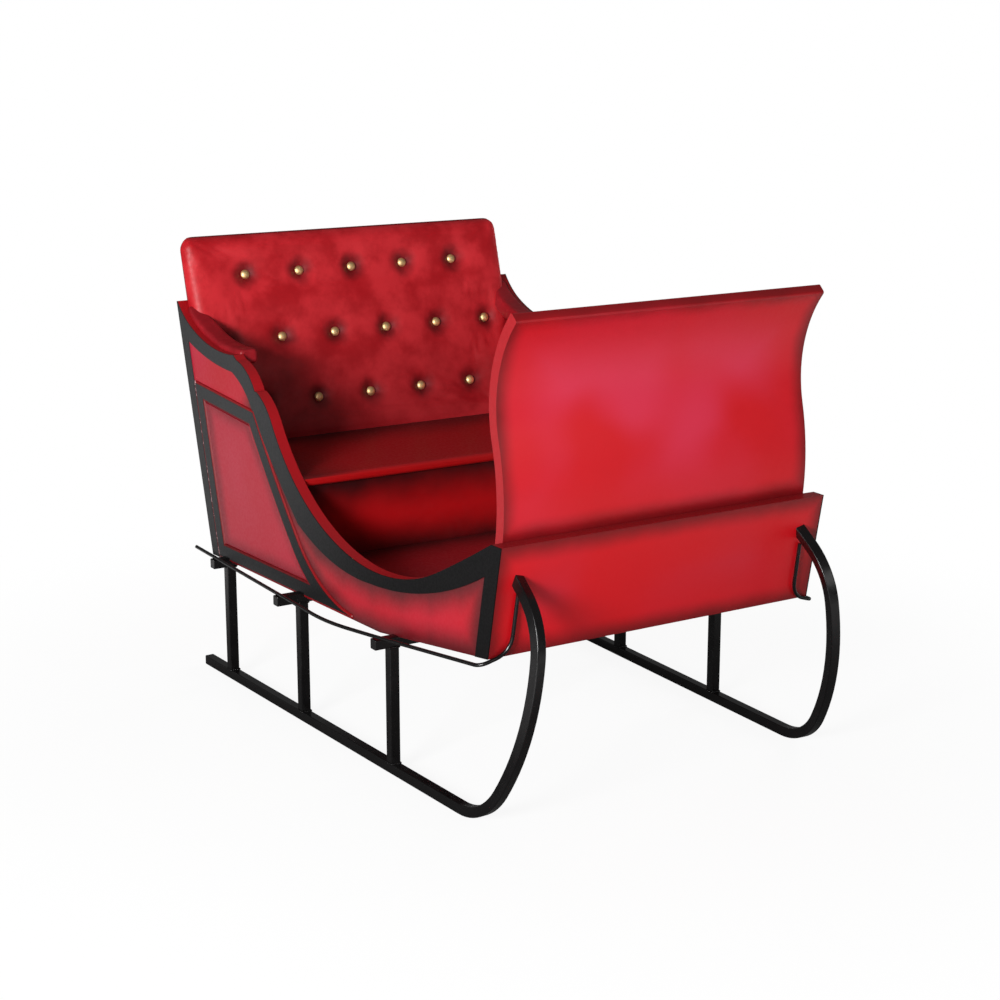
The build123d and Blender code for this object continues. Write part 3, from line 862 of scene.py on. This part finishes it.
def make_lamps():
    """A key light from the left, a weak front light, and dull lights for the far side and back."""
    # name, place, aimed at, width, height, power, seen in gloss
    lamps = (
        ("key_softbox", (-5.0, -3.05, 2.05), (0, 0, 0.7), 1.8, 1.5, 425, True),
        ("front_softbox", (0.6, -4.8, 2.0), (0, -0.6, 0.8), 2.6, 1.6, 26, True),
        ("rear_softbox", (0.4, 6.0, 1.6), (0, 0.6, 0.6), 2.6, 1.6, 200, False),
        ("right_softbox", (5.2, 1.6, 1.5), (0.6, 0, 0.6), 2.6, 1.6, 180, False),
    )
    for name, place, aim, width, height, power, in_gloss in lamps:
        data = bpy.data.lights.new(name, "AREA")
        data.shape = "RECTANGLE"
        data.size = width
        data.size_y = height
        data.energy = power
        lamp = bpy.data.objects.new(name, data)
        lamp.location = place
        direction = Vector(aim) - Vector(place)
        lamp.rotation_euler = direction.to_track_quat("-Z", "Y").to_euler()
        lamp.visible_glossy = in_gloss
        bpy.context.scene.collection.objects.link(lamp)


def make_world():
    """Soft white surround: plain grey light on the object, pure white behind it."""
    world = bpy.data.worlds.new("studio")
    bpy.context.scene.world = world
    world.use_nodes = True
    tree = world.node_tree
    tree.nodes.clear()
    rays = add(tree, "ShaderNodeLightPath")
    light = add(tree, "ShaderNodeBackground", {"Color": srgb("#ffffff"), "Strength": 0.13})
    white = add(tree, "ShaderNodeBackground", {"Color": srgb("#ffffff"), "Strength": 1.0})
    both = add(
        tree, "ShaderNodeMixShader", {0: rays.outputs["Is Camera Ray"], 1: light, 2: white}
    )
    add(tree, "ShaderNodeOutputWorld", {"Surface": both})


def make_floor():
    """White seamless floor that fades to pure white away from the sleigh and keeps its shadow."""
    mesh = bpy.data.meshes.new("studio_floor")
    editor = bmesh.new()
    bmesh.ops.create_grid(editor, x_segments=4, y_segments=4, size=FLOOR_SIZE)
    bmesh.ops.translate(editor, verts=editor.verts, vec=(0, 0, GROUND - 0.5 * MM))
    editor.to_mesh(mesh)
    editor.free()
    floor = bpy.data.objects.new("studio_floor", mesh)
    bpy.context.scene.collection.objects.link(floor)
    material, tree = new_material("white_paper_sweep")
    camera_ray = add(tree, "ShaderNodeLightPath").outputs["Is Camera Ray"]
    place = add(tree, "ShaderNodeVectorMath", {0: object_point(tree)}, operation="LENGTH")
    far = place.outputs["Value"]
    paper = add(tree, "ShaderNodeBsdfDiffuse", {"Color": srgb("#f8f8f8")})
    glow = add(tree, "ShaderNodeEmission", {"Color": srgb("#ffffff"), "Strength": 1.0})
    whiteness = span(tree, far, PAPER_NEAR, PAPER_FAR, 0.9, 1.0)
    seen = add(tree, "ShaderNodeMixShader", {0: whiteness, 1: paper, 2: glow})
    # The paper that lights the sleigh from below is painted darker close to it, a painted shade of the
    # sleigh.
    shaded = mix_colour(tree, span(tree, far, PAPER_NEAR, BOUNCE_FAR), "#6c6c6c", "#f0f0f0")
    bounce = add(tree, "ShaderNodeBsdfDiffuse", {"Color": shaded})
    both = add(tree, "ShaderNodeMixShader", {0: camera_ray, 1: bounce, 2: seen})
    close_material(tree, both)
    paint(floor, material)


def finish_rigid_nodes(steel):
    """Finishes the CAD nodes that stay as they are."""
    paint_panels()
    # the grey is a painted sheen, the black the trim's own colour
    trim = black_paint("black_trim_with_painted_sheen", "#343435", "#090809")
    timber = stained_timber("stained_timber")
    for name in NODES:
        if name.startswith(("border_trim", "frame_trim")):
            paint(name, trim)
        elif name.startswith(("runner", "post", "crossbar", "side_rod")):
            paint(name, steel)
        elif name.startswith(("floor_bearer", "seat_cleat")):
            paint(name, timber)


bpy.context.scene.view_settings.view_transform = "Standard"
black_steel = powder_coat("black_powder_coat")
finish_rigid_nodes(black_steel)
make_back_cushion()
make_buttons(brass("satin_brass"))
make_arm_pads()
make_welds(black_steel)
make_camera()
make_lamps()
make_world()
make_floor()
